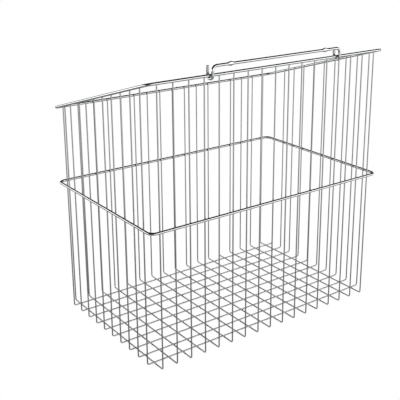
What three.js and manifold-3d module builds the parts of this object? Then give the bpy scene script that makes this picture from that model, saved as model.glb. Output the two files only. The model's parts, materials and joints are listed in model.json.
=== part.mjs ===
// Pull-out hamper basket: a slant-topped basket of welded chrome wire, with a wire lift handle that swings on
// the tall front edge of its rim.
//
// Units are millimetres and +Z is up. X runs along the long front wall, -Y is the front, and the basket
// stands on Z = 0 with the middle of its outline at X = Y = 0.
//
// Thin mesh wires, each bent to a U, make the floor and the walls: long wires run from end to end over cross
// wires that run from front to back. Two closed loops of thicker frame wire, the slanted rim and the level
// mid ring, go round the outside of all the upright legs.
import * as THREE from "three";
import { mergeVertices } from "three/addons/utils/BufferGeometryUtils.js";
import Module from "manifold-3d";

// Wire diameters
const MESH_WIRE = 2.5;
const FRAME_WIRE = 5;
const HANDLE_WIRE = 5;

// Gap left between two wires where they are welded together
const WELD_GAP = 0.3;

// Wire grid of the floor and walls
const WIRE_PITCH = 30;
const CROSS_WIRES = 17;
const LONG_WIRES = 10;

// Bend radii, on the axis of the wire
const FLOOR_BEND = 4;
const FRAME_CORNER = 12;
const HANDLE_BEND = 8;

// Straight wire between the last wire of the grid and the bends at the corners of the basket
const END_CLEAR = 7.5;
const SIDE_CLEAR = 16.5;

// Heights of the frame wires' axes above the ground
const RIM_FRONT_HEIGHT = 500;
const RIM_BACK_HEIGHT = 400;
const RING_HEIGHT = 255;

// Butt weld that closes each frame loop near the middle of its back run
const SEAM_LENGTH = 6;
const SEAM_PROUD = 0.4;

// Lift handle: each hook goes round the front rim beside a cross wire, counted from the end of the basket
const HOOK_WIRE_FROM_END = 4;
const HOOK_SIDE_GAP = 5.75;
const HOOK_CLEARANCE = 0.6;
const HOOK_BACK_ROOM = 2.4;
const HANDLE_RISE = 16;
const HOOK_POST_RISE = 15;

// Two swages in the handle's bar: the wire is squeezed flat from front and back, and spreads up and down
const SWAGE_INSET = 36;
const SWAGE_LENGTH = 14;
const SWAGE_WIDTH = 8;
const SWAGE_THICKNESS = 3.2;

// Facets: sides of a wire's section, the turn of one step round a bend, and the steps along a swage
const MESH_SIDES = 8;
const FRAME_SIDES = 12;
const MESH_BEND_STEP = 22.5;
const FRAME_BEND_STEP = 15;
const SWAGE_STEPS = 8;

// Turns and distances under this count as none
const TINY = 1e-6;

const CHROME = { color: 0xc9cbce, metalness: 1, roughness: 0.14 };

const { degToRad, lerp, mapLinear } = THREE.MathUtils;
const point = (x, y, z) => new THREE.Vector3(x, y, z);

// Reach from one axis to another where two wires meet
const meshRadius = MESH_WIRE / 2;
const frameRadius = FRAME_WIRE / 2;
const handleRadius = HANDLE_WIRE / 2;
const weldReach = meshRadius + WELD_GAP + frameRadius;
const hookReach = frameRadius + HOOK_CLEARANCE + handleRadius;

// Cross wires lie on the ground and long wires lie on them
const crossFloor = meshRadius;
const longFloor = crossFloor + MESH_WIRE + WELD_GAP;

// Places of the parallel wires, even about the middle of the basket
const gridPlaces = (count) =>
  Array.from({ length: count }, (_, i) => (i - (count - 1) / 2) * WIRE_PITCH);
const crossPlaces = gridPlaces(CROSS_WIRES);
const longPlaces = gridPlaces(LONG_WIRES);

// Upright walls: the axes of the legs, outside the last wires of the grid and the corner bends
const cornerRun = Math.max(FLOOR_BEND, FRAME_CORNER - weldReach);
const endWall = crossPlaces.at(-1) + END_CLEAR + cornerRun;
const sideWall = longPlaces.at(-1) + SIDE_CLEAR + cornerRun;

// Frame wires go round the legs: the rim is level at the front and the back and slopes at the ends
const frameEnd = endWall + weldReach;
const frameSide = sideWall + weldReach;
const rimHeight = (y) => mapLinear(y, -frameSide, frameSide, RIM_FRONT_HEIGHT, RIM_BACK_HEIGHT);

// Shift that brings the middle of the outline, handle and rim weld included, to Y = 0
const frontmost = -frameSide - hookReach - Math.max(handleRadius, SWAGE_THICKNESS / 2);
const backmost = frameSide + frameRadius + SEAM_PROUD;
const outlineShift = -(frontmost + backmost) / 2;

// Seam of the frame loops: half way between the two cross wires nearest the middle of the basket
const seamPlace = crossPlaces[Math.floor((CROSS_WIRES - 1) / 2)] + WIRE_PITCH / 2;

// The axis of a bent wire: straight runs between corners, each corner rounded to its bend radius
class WireAxis extends THREE.Curve {
  constructor(corners, radii, stepDegrees) {
    super();
    this.stations = [];
    const last = corners.length - 1;
    corners.forEach((corner, i) => {
      const into = i > 0 ? corner.clone().sub(corners[i - 1]).normalize() : null;
      const out = i < last ? corners[i + 1].clone().sub(corner).normalize() : null;
      if (into && out) this.addBend(corner, into, out, radii[i - 1], degToRad(stepDegrees));
      else this.addStation(corner, into ?? out);
    });
  }

  // A corner that doesn't turn is one more station of a straight run
  addBend(corner, into, out, radius, step) {
    const turn = into.angleTo(out);
    if (turn < TINY) return this.addStation(corner, out);
    const inward = out.clone().addScaledVector(into, -Math.cos(turn)).normalize();
    const start = corner.clone().addScaledVector(into, -radius * Math.tan(turn / 2));
    const centre = start.clone().addScaledVector(inward, radius);
    const steps = Math.ceil(turn / step - TINY);
    for (let i = 0; i <= steps; i++) {
      const angle = (turn * i) / steps;
      const place = centre
        .clone()
        .addScaledVector(inward, -radius * Math.cos(angle))
        .addScaledVector(into, radius * Math.sin(angle));
      const along = into.clone().multiplyScalar(Math.cos(angle)).addScaledVector(inward, Math.sin(angle));
      this.addStation(place, along);
    }
  }

  // Two bends that meet share one station
  addStation(place, along) {
    const previous = this.stations.at(-1);
    if (previous && previous.place.distanceTo(place) < TINY) return;
    this.stations.push({ place, along });
  }

  getSpacedPoints() {
    return this.stations.map((station) => station.place);
  }

  getTangentAt(u, target = new THREE.Vector3()) {
    return target.copy(this.stations[Math.round(u * (this.stations.length - 1))].along);
  }
}

// A wire of regular section, as wide across its flats as its diameter, swept along its axis
function wireGeometry(diameter, sides, axis) {
  const cornerRadius = diameter / 2 / Math.cos(Math.PI / sides);
  const outline = Array.from({ length: sides }, (_, i) => {
    const angle = ((i + 0.5) * 2 * Math.PI) / sides;
    return new THREE.Vector2(Math.cos(angle), Math.sin(angle)).multiplyScalar(cornerRadius);
  });
  const settings = { steps: axis.stations.length - 1, extrudePath: axis, bevelEnabled: false };
  return new THREE.ExtrudeGeometry(new THREE.Shape(outline), settings);
}

// A U-shaped mesh wire through the top of one leg, the two floor corners and the top of the other leg
function meshWire(corners) {
  const axis = new WireAxis(corners, [FLOOR_BEND, FLOOR_BEND], MESH_BEND_STEP);
  return wireGeometry(MESH_WIRE, MESH_SIDES, axis);
}

function crossWire(x) {
  return meshWire([
    point(x, -sideWall, RIM_FRONT_HEIGHT),
    point(x, -sideWall, crossFloor),
    point(x, sideWall, crossFloor),
    point(x, sideWall, RIM_BACK_HEIGHT),
  ]);
}

function longWire(y) {
  const top = rimHeight(y);
  return meshWire([
    point(-endWall, y, top),
    point(-endWall, y, longFloor),
    point(endWall, y, longFloor),
    point(endWall, y, top),
  ]);
}

// Joining of overlapping closed geometries into one solid
const wasm = await Module();
wasm.setup();

function solidOf(geometry) {
  const bare = geometry.clone().deleteAttribute("normal").deleteAttribute("uv");
  const merged = mergeVertices(bare);
  return new wasm.Manifold(
    new wasm.Mesh({
      numProp: 3,
      vertProperties: merged.attributes.position.array,
      triVerts: new Uint32Array(merged.index.array),
    }),
  );
}

function joined(geometries) {
  const mesh = geometries.map(solidOf).reduce((whole, piece) => whole.add(piece)).getMesh();
  return new THREE.BufferGeometry()
    .setAttribute("position", new THREE.BufferAttribute(mesh.vertProperties, 3))
    .setIndex(new THREE.BufferAttribute(mesh.triVerts, 1));
}

// A closed loop of frame wire round the legs: its ends meet in a weld near the middle of the back run
function frameLoop(frontHeight, backHeight) {
  const corners = [
    point(seamPlace + WELD_GAP / 2, frameSide, backHeight),
    point(frameEnd, frameSide, backHeight),
    point(frameEnd, -frameSide, frontHeight),
    point(-frameEnd, -frameSide, frontHeight),
    point(-frameEnd, frameSide, backHeight),
    point(seamPlace - WELD_GAP / 2, frameSide, backHeight),
  ];
  const axis = new WireAxis(corners, Array(4).fill(FRAME_CORNER), FRAME_BEND_STEP);
  const beadRadius = frameRadius + SEAM_PROUD;
  const bead = new THREE.CylinderGeometry(beadRadius, beadRadius, SEAM_LENGTH, FRAME_SIDES)
    .rotateZ(Math.PI / 2)
    .translate(seamPlace, frameSide, backHeight);
  return joined([wireGeometry(FRAME_WIRE, FRAME_SIDES, axis), bead]);
}

// Squeeze of a swage at a place along it: 1 in its middle, fading to 0 in the round wire at its ends
function squeezeAt(offset) {
  const reach = Math.min(Math.abs(offset) / (SWAGE_LENGTH / 2), 1);
  return Math.cos((Math.PI / 2) * reach) ** 2;
}

// Squeeze the wire of a bar along X about a middle point: thin in Y and wide in Z
function swage(geometry, middle) {
  const { position } = geometry.attributes;
  for (let i = 0; i < position.count; i++) {
    const squeeze = squeezeAt(position.getX(i) - middle.x);
    const thin = lerp(1, SWAGE_THICKNESS / HANDLE_WIRE, squeeze);
    const wide = lerp(1, SWAGE_WIDTH / HANDLE_WIRE, squeeze);
    position.setY(i, middle.y + (position.getY(i) - middle.y) * thin);
    position.setZ(i, middle.z + (position.getZ(i) - middle.z) * wide);
  }
}

// The lift handle, about the axis of the front rim: two open hooks, two legs, and a bar with two swages
function handleGeometry() {
  const hookPlace = crossPlaces.at(-HOOK_WIRE_FROM_END) - meshRadius - HOOK_SIDE_GAP - handleRadius;
  const postReach = hookReach + HOOK_BACK_ROOM;
  const hook = (x) => [
    point(x, postReach, HOOK_POST_RISE),
    point(x, postReach, -hookReach),
    point(x, -hookReach, -hookReach),
    point(x, -hookReach, HANDLE_RISE),
  ];
  const swages = [-1, 1].map((side) => point(side * (hookPlace - SWAGE_INSET), -hookReach, HANDLE_RISE));
  const swageStations = swages.flatMap((middle) =>
    Array.from({ length: SWAGE_STEPS + 1 }, (_, i) =>
      point(middle.x + (i / SWAGE_STEPS - 0.5) * SWAGE_LENGTH, middle.y, middle.z),
    ),
  );
  const corners = [...hook(-hookPlace), ...swageStations, ...hook(hookPlace).reverse()];
  const hookRadii = [hookReach, hookReach, HANDLE_BEND];
  const radii = [...hookRadii, ...swageStations.map(() => 0), ...hookRadii.toReversed()];
  const geometry = wireGeometry(HANDLE_WIRE, FRAME_SIDES, new WireAxis(corners, radii, FRAME_BEND_STEP));
  swages.forEach((middle) => swage(geometry, middle));
  return geometry;
}

function piece(name, geometry) {
  const mesh = new THREE.Mesh(geometry, new THREE.MeshStandardMaterial(CHROME));
  mesh.name = name;
  return mesh;
}

const numbered = (name, i) => `${name}_${String(i + 1).padStart(2, "0")}`;

const basket = new THREE.Group();
basket.name = "hamper_basket";
basket.position.y = outlineShift;

basket.add(piece("rim_wire", frameLoop(RIM_FRONT_HEIGHT, RIM_BACK_HEIGHT)));
basket.add(piece("mid_ring", frameLoop(RING_HEIGHT, RING_HEIGHT)));
crossPlaces.forEach((x, i) => basket.add(piece(numbered("cross_wire", i), crossWire(x))));
longPlaces.forEach((y, i) => basket.add(piece(numbered("long_wire", i), longWire(y))));

const handle = piece("lift_handle", handleGeometry());
handle.position.set(0, -frameSide, RIM_FRONT_HEIGHT);
basket.add(handle);

const part = new THREE.Group();
part.add(basket);

export default part;
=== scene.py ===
import json
import math

import bmesh
import bpy
from mathutils import Matrix, Vector


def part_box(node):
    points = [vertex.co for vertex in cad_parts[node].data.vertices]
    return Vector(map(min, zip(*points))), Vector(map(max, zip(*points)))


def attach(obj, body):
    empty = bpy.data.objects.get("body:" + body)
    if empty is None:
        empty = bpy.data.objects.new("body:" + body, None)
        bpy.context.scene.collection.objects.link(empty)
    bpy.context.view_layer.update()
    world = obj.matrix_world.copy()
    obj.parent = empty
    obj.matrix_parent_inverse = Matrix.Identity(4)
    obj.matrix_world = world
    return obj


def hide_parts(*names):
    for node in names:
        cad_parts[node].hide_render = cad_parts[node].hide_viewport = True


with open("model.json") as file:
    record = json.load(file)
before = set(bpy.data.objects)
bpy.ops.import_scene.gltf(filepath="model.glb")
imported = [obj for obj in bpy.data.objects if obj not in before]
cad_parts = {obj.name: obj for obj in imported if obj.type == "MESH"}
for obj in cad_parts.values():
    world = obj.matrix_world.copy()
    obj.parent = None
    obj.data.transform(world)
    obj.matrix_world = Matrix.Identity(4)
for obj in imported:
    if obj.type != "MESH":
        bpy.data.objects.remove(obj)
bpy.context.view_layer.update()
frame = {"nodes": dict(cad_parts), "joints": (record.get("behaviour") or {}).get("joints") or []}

MM = 0.001

# Wires: sides of their round sections, the turn of one step round a bend, and the rounding of a sheared end
MESH_SIDES = 16
FRAME_SIDES = 24
BEND_STEP = math.radians(7.5)
END_ROUNDING = 0.15
END_STEPS = 3

# Share of a step that a bend may be over a whole number of steps before it gets one more
STEP_SLACK = 1e-6

# Vertices closer than this are merged where a loop closes
MERGE_REACH = 0.01 * MM

# A ring this far inside each straight run keeps the shading of bends and ends off the straight
RING_INSET = 0.6 * MM

# Scale of a plain round section
ROUND = Vector((1, 1, 1))

# Bend radii on the axis of the wire
FLOOR_BEND = 4 * MM
FRAME_CORNER = 12 * MM
HANDLE_BEND = 8 * MM

# Frame wire and the butt weld that closes each loop at the back
FRAME_RADIUS = 2.5 * MM
SEAM_PROUD = 0.4 * MM
SEAM_HALF = 3 * MM
SEAM_STEPS = 4
SEAM_PLACE = 15 * MM

# Lift handle: its wire, the open posts of its hooks and the two swages that are squeezed flat in its bar
HANDLE_RADIUS = 2.5 * MM
POST_RISE = 15 * MM
SWAGE_INSET = 36 * MM
SWAGE_HALF = 7 * MM
SWAGE_WIDE = 1.6
SWAGE_THIN = 0.64
SWAGE_STEPS = 16

# Weld nuggets where two wires cross
NUGGET_HALF_THICKNESS = 0.75 * MM
NUGGET_RADIUS = 1.8 * MM
NUGGET_SIDES = 8
NUGGET_RINGS = 5

# Buffing haze on the plate: the size of its patches, their noise, and the span of it from clear to hazy
HAZE_PATCH = 18 * MM
HAZE_DETAIL = 4
HAZE_ROUGHNESS = 0.6
HAZE_SPAN = (0.3, 0.7)

# Noise of the ripple under the plate
RIPPLE_DETAIL = 2

# Camera: place and lens from the photograph's perspective, with the small shift that its framing needs
CAMERA_PLACE = Vector((-0.8925, -1.1843, 0.7621))
CAMERA_AZIMUTH = math.radians(-36.816)
CAMERA_ELEVATION = math.radians(17.267)
SENSOR_WIDTH = 36
CAMERA_LENS = 72.99
CAMERA_SHIFT = (-0.0441, -0.1125)

# Half the width of the white table, in metres
TABLE_HALF = 20
WHITE = (1, 1, 1, 1)

# Softboxes: place, point that the panel faces, width, height and brightness
SOFTBOXES = {
    "right_softbox": (Vector((0.93, -2.56, 0.72)), Vector((-0.31, -0.16, 0.72)), 5.6, 1.28, 2.5),
    "left_softbox": (Vector((-2.13, 0.87, 0.56)), Vector((-0.63, -0.63, 0.56)), 4.0, 0.92, 2.3),
}

# Tones of the room round the softboxes, by the sine of the height: on the camera's right and on its left
RIGHT_TONES = (
    (-1.0, "#BEBFC1"),
    (-0.75, "#A9AAAB"),
    (-0.52, "#94948F"),
    (-0.4, "#B2B2AD"),
    (-0.3, "#F0F0EC"),
    (-0.14, "#FAFAF6"),
    (-0.02, "#B0B0AC"),
    (0.1, "#2B2B2B"),
    (1.0, "#0E0E0E"),
)
LEFT_TONES = (
    (-1.0, "#BEBFC1"),
    (-0.5, "#767672"),
    (-0.3, "#94948E"),
    (-0.14, "#969690"),
    (-0.02, "#6C6C6C"),
    (0.1, "#2B2B2B"),
    (1.0, "#0E0E0E"),
)

# Where the left side of the room goes over to the right, by the cosine from straight right
SIDE_BLEND = (-0.35, 0.15)

# Dark end of the room: the rise of its middle, its edge by the cosine from there, and the light left in it
DARK_END_RISE = 0.14
DARK_END_EDGE = (0.95, 0.985)
DARK_END_LIGHT = 0.1

HINGE = Vector(frame["joints"][0]["pos_m"])


# Meshes

def finished(bm, name, material, body="basket"):
    """Turn a bmesh into a smooth piece that rides on a body and takes a finish from a slot."""
    bmesh.ops.recalc_face_normals(bm, faces=bm.faces)
    for face in bm.faces:
        face.smooth = True
    mesh = bpy.data.meshes.new(name)
    bm.to_mesh(mesh)
    bm.free()
    mesh.materials.append(material)
    piece = bpy.data.objects.new(name, mesh)
    bpy.context.scene.collection.objects.link(piece)
    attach(piece, body)
    return piece


def ring_edges(verts):
    """The edges that join a ring's own vertices, each once and in the same order each run."""
    ring = set(verts)
    edges = dict.fromkeys(edge for vert in verts for edge in vert.link_edges)
    return [edge for edge in edges if ring.issuperset(edge.verts)]


def ring_verts(edges):
    """The vertices of a ring's edges, each once and in the same order each run."""
    return list(dict.fromkeys(vert for edge in edges for vert in edge.verts))


def start_ring(bm, centre, along, radius, sides):
    """The round section that a wire starts from."""
    place = Matrix.Translation(centre) @ along.to_track_quat("Z", "Y").to_matrix().to_4x4()
    made = bmesh.ops.create_circle(bm, segments=sides, radius=radius, matrix=place)
    return ring_edges(made["verts"])


def run_on(bm, edges, step):
    """Carry the wire straight on by one step."""
    made = bmesh.ops.extrude_edge_only(bm, edges=edges)
    verts = [part for part in made["geom"] if isinstance(part, bmesh.types.BMVert)]
    bmesh.ops.translate(bm, verts=verts, vec=step)
    return ring_edges(verts)


def bend_round(bm, edges, centre, axis, angle):
    """Carry the wire round a bend."""
    steps = math.ceil(angle / BEND_STEP - STEP_SLACK)
    made = bmesh.ops.spin(bm, geom=edges, cent=centre, axis=axis, angle=angle, steps=steps)
    return ring_edges([part for part in made["geom_last"] if isinstance(part, bmesh.types.BMVert)])


def resize_ring(bm, edges, centre, scale):
    """Scale one section of the wire about its centre."""
    bmesh.ops.scale(bm, verts=ring_verts(edges), vec=scale, space=Matrix.Translation(-centre))


def shaped_run(bm, edges, start, end, sections):
    """A straight run whose round section takes a scale at each (distance from the start, scale) place."""
    along = (end - start).normalized()
    length = (end - start).length
    places = list(sections)
    if not places or places[0][0] > RING_INSET:
        places.insert(0, (RING_INSET, ROUND))
    if places[-1][0] < length - RING_INSET:
        places.append((length - RING_INSET, ROUND))
    done, shape = 0, ROUND
    for distance, scale in places:
        if distance > done:
            edges = run_on(bm, edges, along * (distance - done))
        resize_ring(bm, edges, start + along * distance, [new / old for new, old in zip(scale, shape)])
        done, shape = distance, scale
    if done < length:
        edges = run_on(bm, edges, along * (length - done))
    return edges


def shear_end(bm, edges, radius):
    """Close a cut end and round its edge a little."""
    rounding = radius * END_ROUNDING
    bmesh.ops.edgeloop_fill(bm, edges=edges)
    bmesh.ops.bevel(
        bm, geom=edges, offset=rounding, segments=END_STEPS, profile=0.5, affect="EDGES", material=-1
    )


def bent_wire(corners, bends, radius, sides, sections=None, closed=False):
    """A round wire in straight runs between corners, turned at each corner to its bend radius."""
    sections = sections or {}
    bm = bmesh.new()
    ways = [(b - a).normalized() for a, b in zip(corners, corners[1:])]
    first = start_ring(bm, corners[0], ways[0], radius, sides)
    edges, here = first, corners[0]
    for i, (corner, bend) in enumerate(zip(corners[1:-1], bends)):
        into, out = ways[i], ways[i + 1]
        angle = into.angle(out)
        setback = bend * math.tan(angle / 2)
        bend_start = corner - into * setback
        edges = shaped_run(bm, edges, here, bend_start, sections.get(i, ()))
        axis = into.cross(out).normalized()
        centre = bend_start + axis.cross(into) * bend
        edges = bend_round(bm, edges, centre, axis, angle)
        here = corner + out * setback
    edges = shaped_run(bm, edges, here, corners[-1], sections.get(len(bends), ()))
    if closed:
        bmesh.ops.remove_doubles(bm, verts=bm.verts, dist=MERGE_REACH)
    else:
        shear_end(bm, first, radius)
        shear_end(bm, edges, radius)
    return bm


# Wires of the floor and walls

def node_names(kind):
    """The names of one kind of wire, in order."""
    return sorted(name for name in frame["nodes"] if name.startswith(kind))


def mesh_radius():
    """Half the width of a cross wire."""
    low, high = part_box(node_names("cross_wire")[0])
    return (high.x - low.x) / 2


MESH_RADIUS = mesh_radius()
RIM_BACK_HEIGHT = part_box("rim_wire")[0].z + FRAME_RADIUS + SEAM_PROUD


def cross_corners(node):
    """From the top of the front leg over the floor to the top of the back leg."""
    low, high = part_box(node)
    x = (low.x + high.x) / 2
    front, back, floor = low.y + MESH_RADIUS, high.y - MESH_RADIUS, low.z + MESH_RADIUS
    heights = ((front, high.z), (front, floor), (back, floor), (back, RIM_BACK_HEIGHT))
    return [Vector((x, y, z)) for y, z in heights]


def long_corners(node):
    """From the top of the left leg over the floor to the top of the right leg."""
    low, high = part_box(node)
    y = (low.y + high.y) / 2
    left, right, floor = low.x + MESH_RADIUS, high.x - MESH_RADIUS, low.z + MESH_RADIUS
    heights = ((left, high.z), (left, floor), (right, floor), (right, high.z))
    return [Vector((x, y, z)) for x, z in heights]


def make_mesh_wires(material):
    """The thin wires, each bent to a U with its two legs in opposite walls."""
    for kind, corners_of in (("cross_wire", cross_corners), ("long_wire", long_corners)):
        for node in node_names(kind):
            bm = bent_wire(corners_of(node), (FLOOR_BEND, FLOOR_BEND), MESH_RADIUS, MESH_SIDES)
            piece = finished(bm, f"round_{node}", material)
            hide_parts(node)


# Rim and mid ring

RING_LOW, RING_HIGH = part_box("mid_ring")
RING_HEIGHT = (RING_LOW.z + RING_HIGH.z) / 2

# Axis of both frame loops, seen from above
LOOP_SIDE = RING_HIGH.x - FRAME_RADIUS
LOOP_FRONT = RING_LOW.y + FRAME_RADIUS
LOOP_BACK = RING_HIGH.y - FRAME_RADIUS - SEAM_PROUD


def loop_corners(front_height, back_height):
    """The corners of a frame loop, from its seam in the back run round and back to it."""
    seam = Vector((SEAM_PLACE, LOOP_BACK, back_height))
    return [
        seam,
        Vector((LOOP_SIDE, LOOP_BACK, back_height)),
        Vector((LOOP_SIDE, LOOP_FRONT, front_height)),
        Vector((-LOOP_SIDE, LOOP_FRONT, front_height)),
        Vector((-LOOP_SIDE, LOOP_BACK, back_height)),
        seam,
    ]


def fade(reach):
    """A smooth fall from 1 in the middle to 0 at the end of a swelling or a swage."""
    return math.cos(math.pi / 2 * reach) ** 2


def make_frame_loop(node, front_height, back_height, material):
    """A loop of frame wire, its ends joined by a butt weld that swells the wire a little."""
    corners = loop_corners(front_height, back_height)
    bends = (FRAME_CORNER,) * (len(corners) - 2)
    seam = []
    for i in range(SEAM_STEPS + 1):
        swell = 1 + SEAM_PROUD / FRAME_RADIUS * fade(i / SEAM_STEPS)
        seam.append((SEAM_HALF * i / SEAM_STEPS, Vector((1, swell, swell))))
    seam.append((SEAM_HALF + RING_INSET, ROUND))
    last_length = (corners[-1] - corners[-2]).length - FRAME_CORNER
    seam_end = [(last_length - distance, scale) for distance, scale in reversed(seam)]
    sections = {0: seam, len(bends): seam_end}
    bm = bent_wire(corners, bends, FRAME_RADIUS, FRAME_SIDES, sections, closed=True)
    piece = finished(bm, f"round_{node}", material)
    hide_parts(node)


def make_frame_loops(material):
    """The slanting rim and the level mid ring."""
    make_frame_loop("rim_wire", HINGE.z, RIM_BACK_HEIGHT, material)
    make_frame_loop("mid_ring", RING_HEIGHT, RING_HEIGHT, material)


# Lift handle

def swage_sections(middle):
    """The sections of a swage about its middle: thin from front to back, wide from top to bottom."""
    places = [(middle - SWAGE_HALF - RING_INSET, ROUND)]
    for i in range(SWAGE_STEPS + 1):
        reach = 2 * i / SWAGE_STEPS - 1
        squeeze = fade(reach)
        scale = Vector((1, 1 + (SWAGE_THIN - 1) * squeeze, 1 + (SWAGE_WIDE - 1) * squeeze))
        places.append((middle + reach * SWAGE_HALF, scale))
    places.append((middle + SWAGE_HALF + RING_INSET, ROUND))
    return places


def make_handle(material):
    """One bent wire: a bar with two swages, two legs, and an open hook under the rim at each end."""
    low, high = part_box("lift_handle")
    hook = high.x - HANDLE_RADIUS
    bar_y, bar_z = low.y + HANDLE_RADIUS, high.z - HANDLE_RADIUS * SWAGE_WIDE
    post_y, hook_z = high.y - HANDLE_RADIUS, low.z + HANDLE_RADIUS
    side = ((post_y, HINGE.z + POST_RISE), (post_y, hook_z), (bar_y, hook_z), (bar_y, bar_z))
    corners = [Vector((-hook, y, z)) for y, z in side] + [Vector((hook, y, z)) for y, z in reversed(side)]
    hook_bend = HINGE.z - hook_z
    bends = (hook_bend, hook_bend, HANDLE_BEND, HANDLE_BEND, hook_bend, hook_bend)
    bar_run = len(bends) // 2
    bar_length = 2 * (hook - HANDLE_BEND)
    first_swage = SWAGE_INSET - HANDLE_BEND
    swages = swage_sections(first_swage) + swage_sections(bar_length - first_swage)
    bm = bent_wire(corners, bends, HANDLE_RADIUS, FRAME_SIDES, {bar_run: swages})
    piece = finished(bm, "round_lift_handle", material, body="handle")
    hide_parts("lift_handle")


# Welds

def add_nugget(bm, place, across):
    """A flattened bead of metal between two wires, thin along the line across the joint."""
    turn = across.to_track_quat("Z", "Y").to_matrix().to_4x4()
    flat = Matrix.Diagonal((NUGGET_RADIUS, NUGGET_RADIUS, NUGGET_HALF_THICKNESS, 1))
    bead = Matrix.Translation(place) @ turn @ flat
    bmesh.ops.create_uvsphere(bm, u_segments=NUGGET_SIDES, v_segments=NUGGET_RINGS, radius=1, matrix=bead)


def joint_between(leg, loop):
    """Where a leg of the wall touches a frame loop, on the line between their axes."""
    return leg + (loop - leg) * MESH_RADIUS / (MESH_RADIUS + FRAME_RADIUS)


def make_welds(material):
    """A nugget at every crossing in the floor, and at each leg on the ring and on the rim."""
    cross = [cross_corners(node) for node in node_names("cross_wire")]
    long = [long_corners(node) for node in node_names("long_wire")]
    up, front, side = Vector((0, 0, 1)), Vector((0, 1, 0)), Vector((1, 0, 0))

    floor = bmesh.new()
    height = (cross[0][1].z + long[0][1].z) / 2
    for across in cross:
        for along in long:
            add_nugget(floor, Vector((across[0].x, along[0].y, height)), up)
    finished(floor, "floor_welds", material)

    ring, rim = bmesh.new(), bmesh.new()
    for corners in cross:
        for leg_top, loop_y in ((corners[0], HINGE.y), (corners[-1], LOOP_BACK)):
            joint_y = joint_between(leg_top.y, loop_y)
            add_nugget(ring, Vector((leg_top.x, joint_y, RING_HEIGHT)), front)
            add_nugget(rim, Vector((leg_top.x, joint_y, leg_top.z - NUGGET_RADIUS / 2)), front)
    for corners in long:
        for leg_top, loop_x in ((corners[0], -LOOP_SIDE), (corners[-1], LOOP_SIDE)):
            joint_x = joint_between(leg_top.x, loop_x)
            add_nugget(ring, Vector((joint_x, leg_top.y, RING_HEIGHT)), side)
            add_nugget(rim, Vector((joint_x, leg_top.y, leg_top.z - NUGGET_RADIUS / 2)), side)
    finished(ring, "ring_welds", material)
    finished(rim, "rim_welds", material)


# Materials

def linear(hex_colour):
    """An sRGB hex colour as linear red, green, blue and alpha."""
    values = [int(hex_colour[i:i + 2], 16) / 255 for i in (1, 3, 5)]
    return (*(v / 12.92 if v <= 0.04045 else ((v + 0.055) / 1.055) ** 2.4 for v in values), 1)


def add_node(tree, kind, settings=None, inputs=None, links=None):
    """Add a node, set its properties and socket values, and link sockets to other nodes' outputs."""
    node = tree.nodes.new(kind)
    for key, value in (settings or {}).items():
        setattr(node, key, value)
    for key, value in (inputs or {}).items():
        node.inputs[key].default_value = value
    for key, output in (links or {}).items():
        tree.links.new(output, node.inputs[key])
    return node


def plated_chrome(name, bright, dull, haze, ripple, ripple_depth):
    """Bright chrome plate on drawn steel wire.

    The plate mirrors the studio. Buffing haze changes its roughness in soft patches, its tone shifts slightly
    with the plate's thickness, and the drawn wire under it leaves a faint ripple that bends the reflections.
    """
    material = bpy.data.materials.new(name)
    material.use_nodes = True
    tree = material.node_tree
    tree.nodes.clear()
    place = add_node(tree, "ShaderNodeTexCoord").outputs["Object"]
    patches = add_node(
        tree, "ShaderNodeTexNoise",
        inputs={"Scale": 1 / HAZE_PATCH, "Detail": HAZE_DETAIL, "Roughness": HAZE_ROUGHNESS},
        links={"Vector": place},
    )
    tone = add_node(
        tree, "ShaderNodeMix", {"data_type": "RGBA"}, {"A": linear(bright), "B": linear(dull)},
        {"Factor": patches.outputs["Fac"]},
    )
    gloss = add_node(
        tree, "ShaderNodeMapRange",
        inputs={"From Min": HAZE_SPAN[0], "From Max": HAZE_SPAN[1], "To Min": haze[0], "To Max": haze[1]},
        links={"Value": patches.outputs["Fac"]},
    )
    waves = add_node(
        tree, "ShaderNodeTexNoise", inputs={"Scale": 1 / ripple, "Detail": RIPPLE_DETAIL},
        links={"Vector": place},
    )
    bump = add_node(
        tree, "ShaderNodeBump", inputs={"Strength": 1, "Distance": ripple_depth},
        links={"Height": waves.outputs["Fac"]},
    )
    shader = add_node(
        tree, "ShaderNodeBsdfPrincipled", inputs={"Metallic": 1},
        links={
            "Base Color": tone.outputs["Result"],
            "Roughness": gloss.outputs["Result"],
            "Normal": bump.outputs["Normal"],
        },
    )
    add_node(tree, "ShaderNodeOutputMaterial", links={"Surface": shader.outputs["BSDF"]})
    return material


# Studio

def make_camera():
    """The photograph's camera, with no roll and no depth of field."""
    data = bpy.data.cameras.new("camera")
    data.sensor_width = SENSOR_WIDTH
    data.lens = CAMERA_LENS
    data.shift_x, data.shift_y = CAMERA_SHIFT
    camera = bpy.data.objects.new("camera", data)
    camera.location = CAMERA_PLACE
    camera.rotation_euler = (math.pi / 2 - CAMERA_ELEVATION, 0, CAMERA_AZIMUTH)
    bpy.context.scene.collection.objects.link(camera)
    bpy.context.scene.camera = camera


def make_floor():
    """A lit white table that fills the picture, as even as the photograph's background."""
    bm = bmesh.new()
    bmesh.ops.create_grid(bm, x_segments=1, y_segments=1, size=TABLE_HALF)
    mesh = bpy.data.meshes.new("floor")
    bm.to_mesh(mesh)
    bm.free()
    material = bpy.data.materials.new("lit_white_table")
    material.use_nodes = True
    tree = material.node_tree
    tree.nodes.clear()
    glow = add_node(tree, "ShaderNodeEmission", inputs={"Color": WHITE, "Strength": 1})
    add_node(tree, "ShaderNodeOutputMaterial", links={"Surface": glow.outputs["Emission"]})
    mesh.materials.append(material)
    floor = bpy.data.objects.new("floor", mesh)
    bpy.context.scene.collection.objects.link(floor)
    # The wires mirror the room's tones from below, which are dimmer than the table
    floor.visible_glossy = False


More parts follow.
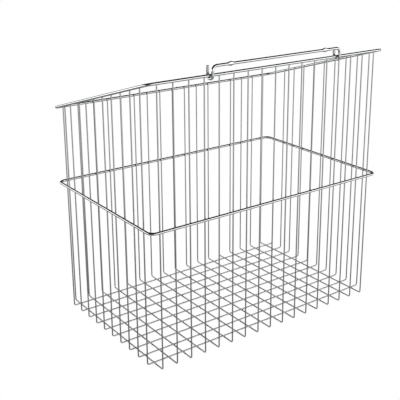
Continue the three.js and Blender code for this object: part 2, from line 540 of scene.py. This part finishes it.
def add_softbox(name, place, aim, width, height, brightness):
    """An even panel of light that the wires mirror and the camera doesn't see."""
    data = bpy.data.lights.new(name, "AREA")
    data.shape = "RECTANGLE"
    data.size, data.size_y = width, height
    # The power that gives each point of the panel its brightness
    data.energy = brightness * math.pi * width * height
    panel = bpy.data.objects.new(name, data)
    panel.location = place
    panel.rotation_euler = (aim - place).to_track_quat("-Z", "Y").to_euler()
    panel.visible_camera = False
    bpy.context.scene.collection.objects.link(panel)


def make_softboxes():
    """A long low softbox on either side of the camera."""
    for name, (place, aim, width, height, brightness) in SOFTBOXES.items():
        add_softbox(name, place, aim, width, height, brightness)


def room_tone(tree, height, tones):
    """The tone of one side of the room at a height from 0, straight down, to 1, straight up."""
    room = add_node(tree, "ShaderNodeValToRGB", links={"Fac": height})
    ramp = room.color_ramp.elements
    # New tones start in the middle of the ramp and then get their places
    while len(ramp) < len(tones):
        ramp.new(0.5)
    for element, (sine, tone) in zip(ramp, tones):
        element.position = (sine + 1) / 2
        element.color = linear(tone)
    return room.outputs["Color"]


def make_world():
    """The room that the wires mirror round the softboxes, in front of a white background.

    It is light on the camera's right, dim on its left, and darkest overhead and at the end behind the camera.
    """
    world = bpy.data.worlds.new("studio")
    bpy.context.scene.world = world
    world.use_nodes = True
    tree = world.node_tree
    tree.nodes.clear()
    way = add_node(tree, "ShaderNodeTexCoord").outputs["Generated"]
    parts = add_node(tree, "ShaderNodeSeparateXYZ", links={"Vector": way})
    height = add_node(
        tree, "ShaderNodeMapRange", inputs={"From Min": -1, "From Max": 1},
        links={"Value": parts.outputs["Z"]},
    )
    right = room_tone(tree, height.outputs["Result"], RIGHT_TONES)
    left = room_tone(tree, height.outputs["Result"], LEFT_TONES)
    right_way = Vector((math.cos(CAMERA_AZIMUTH), math.sin(CAMERA_AZIMUTH), 0))
    side = add_node(tree, "ShaderNodeVectorMath", {"operation": "DOT_PRODUCT"}, {1: right_way}, {0: way})
    rightward = add_node(
        tree, "ShaderNodeMapRange", {"interpolation_type": "SMOOTHSTEP"},
        {"From Min": SIDE_BLEND[0], "From Max": SIDE_BLEND[1]}, {"Value": side.outputs["Value"]},
    )
    room = add_node(
        tree, "ShaderNodeMix", {"data_type": "RGBA"},
        links={"Factor": rightward.outputs["Result"], "A": left, "B": right},
    )
    dark_way = Vector((math.sin(CAMERA_AZIMUTH), -math.cos(CAMERA_AZIMUTH), DARK_END_RISE)).normalized()
    facing = add_node(tree, "ShaderNodeVectorMath", {"operation": "DOT_PRODUCT"}, {1: dark_way}, {0: way})
    shade = add_node(
        tree, "ShaderNodeMapRange", {"interpolation_type": "SMOOTHSTEP"},
        {"From Min": DARK_END_EDGE[0], "From Max": DARK_END_EDGE[1], "To Min": 1, "To Max": DARK_END_LIGHT},
        {"Value": facing.outputs["Value"]},
    )
    shaded = add_node(
        tree, "ShaderNodeMix", {"data_type": "RGBA", "blend_type": "MULTIPLY"}, {"Factor": 1},
        {"A": room.outputs["Result"], "B": shade.outputs["Result"]},
    )
    seen = add_node(tree, "ShaderNodeLightPath").outputs["Is Camera Ray"]
    light = add_node(
        tree, "ShaderNodeMix", {"data_type": "RGBA"}, {"B": WHITE},
        {"Factor": seen, "A": shaded.outputs["Result"]},
    )
    back = add_node(tree, "ShaderNodeBackground", links={"Color": light.outputs["Result"]})
    add_node(tree, "ShaderNodeOutputWorld", links={"Surface": back.outputs["Background"]})


# Chrome on the thin wires: a narrow mirror with more haze, so each wire is a soft grey line with a thin glint
mesh_chrome = plated_chrome(
    "chrome_on_mesh_wire", bright="#C8CACC", dull="#B4B6B8", haze=(0.06, 0.13),
    ripple=7 * MM, ripple_depth=0.007 * MM,
)

# Chrome on the rim and the ring: a clearer mirror with a longer ripple, so white and black lines run along it
frame_chrome = plated_chrome(
    "chrome_on_frame_wire", bright="#CBCDCF", dull="#BCBEC0", haze=(0.05, 0.12),
    ripple=14 * MM, ripple_depth=0.012 * MM,
)

# Chrome on the handle: the clearest and lightest plate, with a sharp dark line along the top of its bar
handle_chrome = plated_chrome(
    "chrome_on_handle_wire", bright="#CDCFD1", dull="#BFC0C1", haze=(0.04, 0.12),
    ripple=12 * MM, ripple_depth=0.012 * MM,
)

# Plate over rough weld metal: dull dark dots, their darkness partly the rough weld and partly painted shade
# of the crevice where the wires cross, with a grain drawn coarser than the real one so that it shows
weld_chrome_with_painted_shade = plated_chrome(
    "chrome_on_welds_with_painted_shade", bright="#8A8C8E", dull="#6A6C6E", haze=(0.25, 0.45),
    ripple=1.2 * MM, ripple_depth=0.05 * MM,
)

make_mesh_wires(mesh_chrome)
make_frame_loops(frame_chrome)
make_handle(handle_chrome)
make_welds(weld_chrome_with_painted_shade)
make_camera()
make_floor()
make_softboxes()
make_world()
bpy.context.scene.view_settings.view_transform = "Standard"
